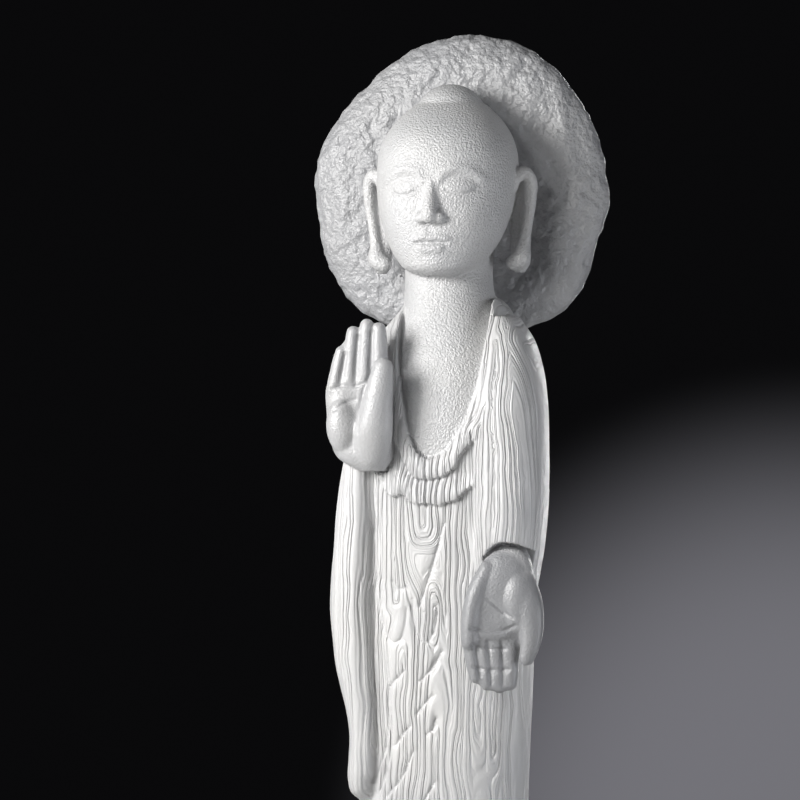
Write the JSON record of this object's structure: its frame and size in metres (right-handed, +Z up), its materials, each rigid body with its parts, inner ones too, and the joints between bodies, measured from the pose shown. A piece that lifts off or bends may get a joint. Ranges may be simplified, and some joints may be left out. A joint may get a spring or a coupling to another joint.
{
  "type": "crystal buddha figurine",
  "caption": "Standing robed Buddha cast in frosted glass before a round rough-edged halo, one palm raised and one lowered, on a low oval base.",
  "frame": {"origin": "middle of the base's flat underside", "axes": "+Z up, from the base to the halo; the figure faces -Y; its raised hand is on the -X side"},
  "size_m": [0.123, 0.0906, 0.4672],
  "materials": {
    "frosted_crystal": "frosted, whitish, clearer where it is thin"
  },
  "bodies": {
    "root": {"crystal_buddha_figurine": "frosted_crystal"}
  },
  "joints": []
}
